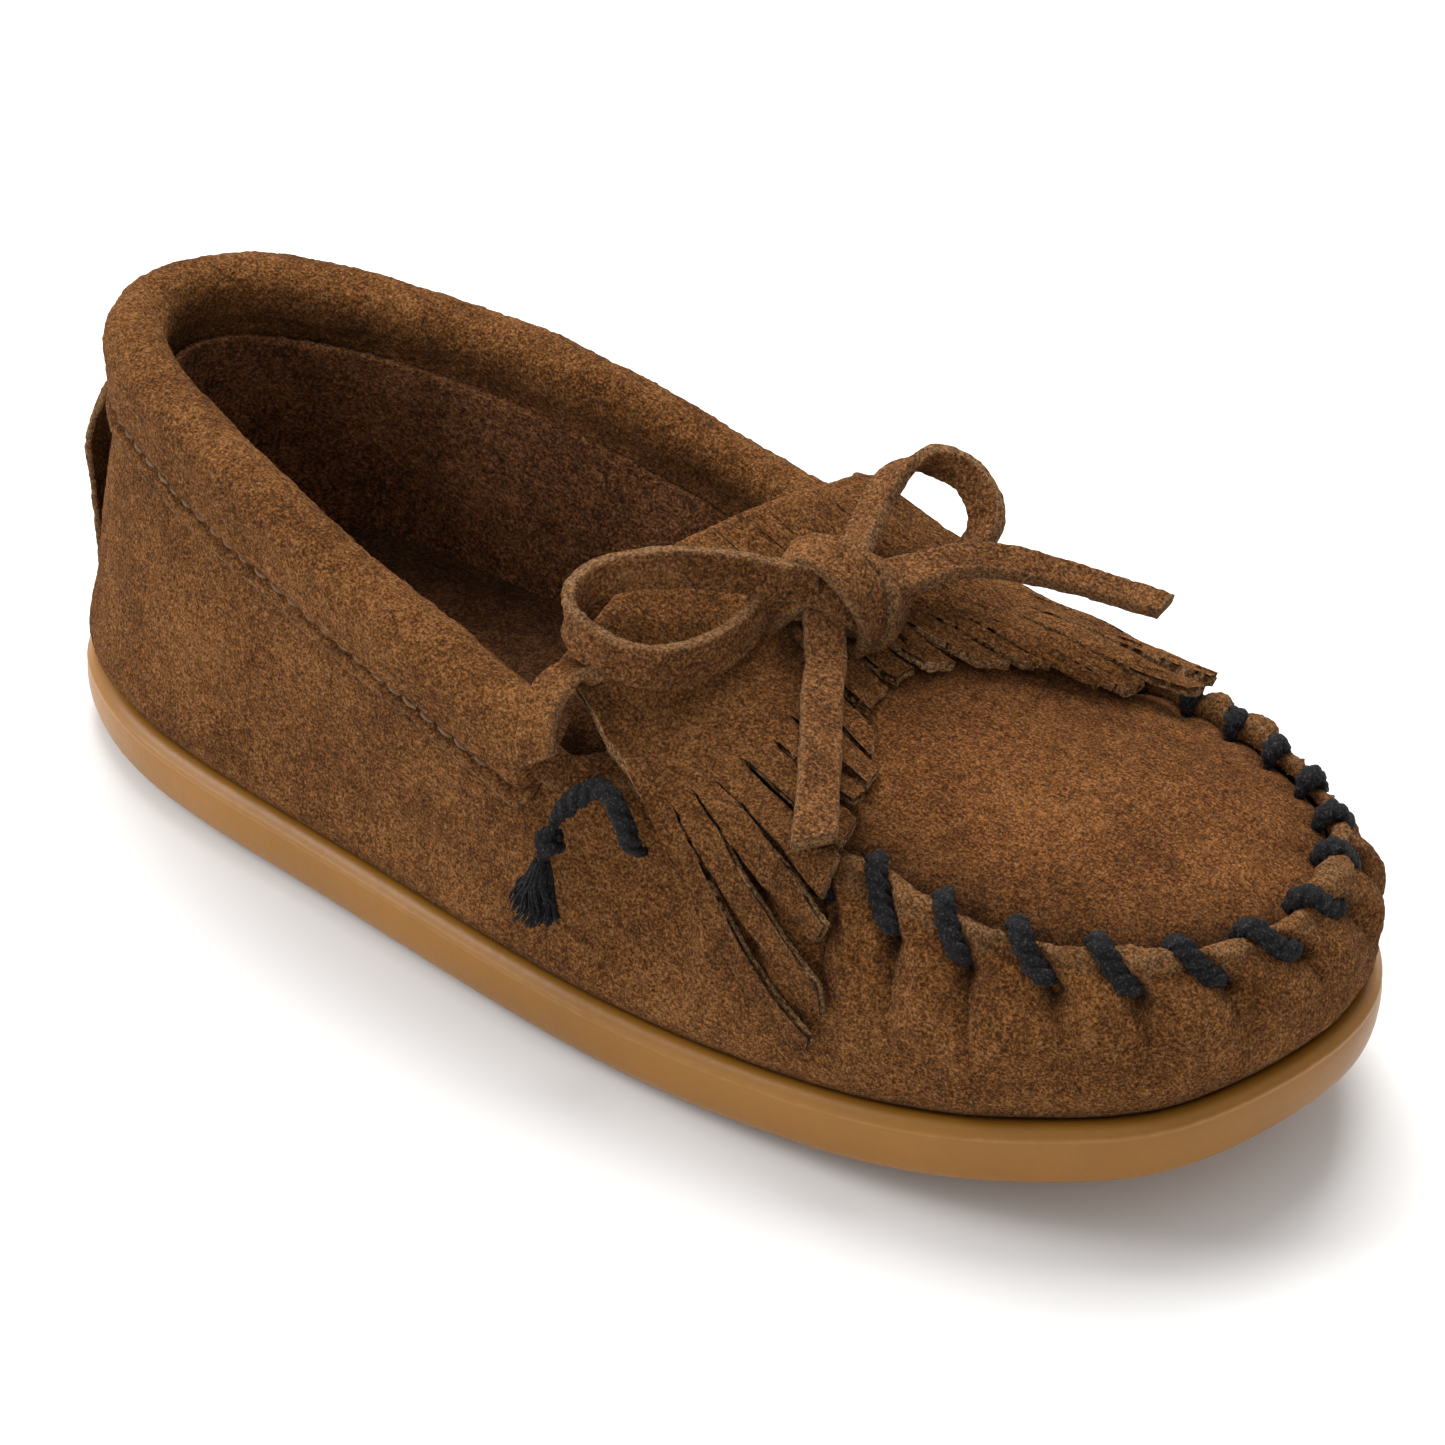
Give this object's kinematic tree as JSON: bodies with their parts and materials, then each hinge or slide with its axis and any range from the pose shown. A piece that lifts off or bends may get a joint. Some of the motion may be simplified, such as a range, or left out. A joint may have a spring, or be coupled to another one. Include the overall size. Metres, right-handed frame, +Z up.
{
  "type": "suede moccasin",
  "caption": "Low slip-on moccasin with a wrapped vamp, whip-stitched toe, fringed tongue, tied thong bow, folded collar and a rubber sole.",
  "frame": {"origin": "on the ground, at the middle of the flat waist pad under the arch, 77 mm forward of the back of the outsole (the mount sole_rest)", "axes": "+X to the toe, +Y to the shoe's inner side, +Z up"},
  "size_m": [0.1858, 0.076, 0.0624],
  "materials": {
    "suede": "napped suede, tan brown",
    "suede_plug": "napped suede, redder brown",
    "thong": "cut suede thong with pale edges",
    "gum_rubber": "smooth satin gum rubber, amber",
    "waxed_cord": "twisted waxed cord, charcoal",
    "fibre_board": "plain fibre board",
    "lining": "brushed suede lining"
  },
  "bodies": {
    "shoe": {"outsole": "gum_rubber", "insole_board": "fibre_board", "sock_liner": "lining", "vamp": "suede", "heel_counter": "fibre_board", "heel_lining": "lining", "collar_cuff": "suede", "lace_collar_run": "thong", "heel_strip": "suede", "plug": "suede_plug", "toe_stitch_01": "waxed_cord", "toe_stitch_02": "waxed_cord", "toe_stitch_03": "waxed_cord", "toe_stitch_04": "waxed_cord", "toe_stitch_05": "waxed_cord", "toe_stitch_06": "waxed_cord", "toe_stitch_07": "waxed_cord", "toe_stitch_08": "waxed_cord", "toe_stitch_09": "waxed_cord", "toe_stitch_10": "waxed_cord", "toe_stitch_11": "waxed_cord", "toe_stitch_12": "waxed_cord", "toe_stitch_13": "waxed_cord", "toe_stitch_14": "waxed_cord", "toe_stitch_15": "waxed_cord", "toe_stitch_16": "waxed_cord", "toe_stitch_17": "waxed_cord", "toe_stitch_18": "waxed_cord", "toe_stitch_19": "waxed_cord", "toe_stitch_20": "waxed_cord", "toe_stitch_21": "waxed_cord", "thread_loop": "waxed_cord", "kiltie": "suede", "lace_lead_outer": "thong", "lace_lead_inner": "thong", "lace_knot": "thong"},
    "tassel": {"thread_tassel": "waxed_cord"},
    "fringe_outer": {"fringe_outer": "suede"},
    "fringe_inner": {"fringe_inner": "suede"},
    "loop_outer": {"bow_loop_outer": "thong"},
    "loop_inner": {"bow_loop_inner": "thong"},
    "tail_outer": {"lace_tail_outer": "thong"},
    "tail_inner": {"lace_tail_inner": "thong"}
  },
  "joints": [
    {"name": "tassel_swing", "type": "hinge", "parent": "shoe", "child": "tassel", "pos_m": [0.0233, -0.032, 0.0342], "axis": [-1, 0, 0], "range_deg": [0, 60]},
    {"name": "fringe_outer_lift", "type": "hinge", "parent": "shoe", "child": "fringe_outer", "pos_m": [0.04079, -0.0262, 0.04163], "axis": [-0.9831, 0, 0.1829], "range_deg": [0, 40]},
    {"name": "fringe_inner_lift", "type": "hinge", "parent": "shoe", "child": "fringe_inner", "pos_m": [0.05573, 0.0311, 0.04282], "axis": [0.9972, 0, -0.0754], "range_deg": [0, 40]},
    {"name": "loop_outer_lift", "type": "hinge", "parent": "shoe", "child": "loop_outer", "pos_m": [0.0329, -0.003, 0.0584], "axis": [-0.7848, 0.6198, 0], "range_deg": [0, 35]},
    {"name": "loop_inner_lift", "type": "hinge", "parent": "shoe", "child": "loop_inner", "pos_m": [0.0375, 0.0076, 0.0545], "axis": [0.9988, -0.0499, 0], "range_deg": [-12, 11]},
    {"name": "tail_outer_lift", "type": "hinge", "parent": "shoe", "child": "tail_outer", "pos_m": [0.0411, -0.0038, 0.0506], "axis": [-0.8211, -0.5708, 0], "range_deg": [0, 50]},
    {"name": "tail_inner_swing", "type": "hinge", "parent": "shoe", "child": "tail_inner", "pos_m": [0.0419, 0.0072, 0.0554], "axis": [0.5931, -0.8051, 0], "range_deg": [-6, 35]}
  ]
}
